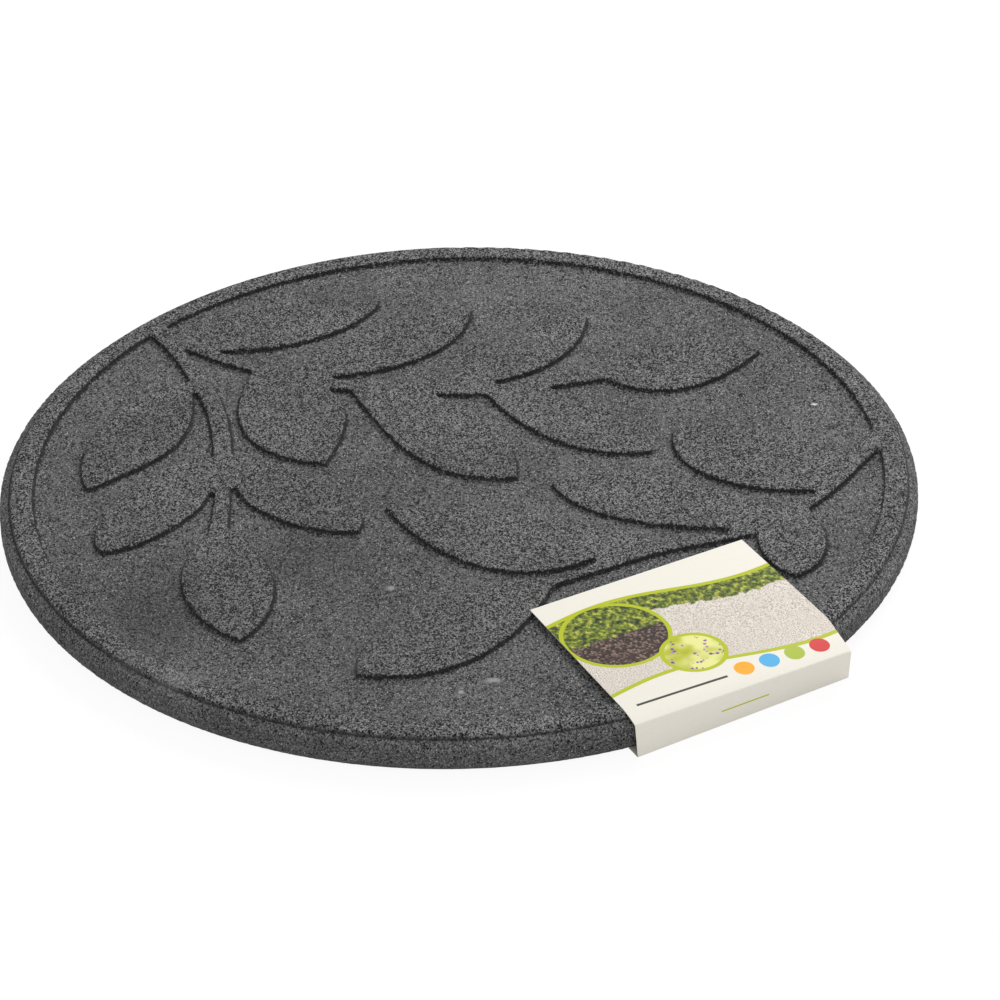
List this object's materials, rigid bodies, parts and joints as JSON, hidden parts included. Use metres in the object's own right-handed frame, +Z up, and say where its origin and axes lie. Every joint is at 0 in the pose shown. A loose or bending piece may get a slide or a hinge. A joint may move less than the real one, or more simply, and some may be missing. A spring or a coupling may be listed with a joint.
{
  "type": "garden stepping stone",
  "caption": "Round flat garden stepping stone of moulded rubber crumb, with a raised ring and leafy branches on its top, in a folded card sleeve.",
  "frame": {"origin": "middle of the flat underside, on the floor", "axes": "+Z up, square to the underside; +Y away from the viewer of the picture, +X to the right"},
  "size_m": [0.4499, 0.45, 0.0193],
  "materials": {
    "rubber_crumb": "rough pressed crumb, dark grey",
    "printed_card": "satin printed card"
  },
  "bodies": {
    "root": {"stepping_stone": "rubber_crumb", "card_sleeve": "printed_card"}
  },
  "joints": []
}
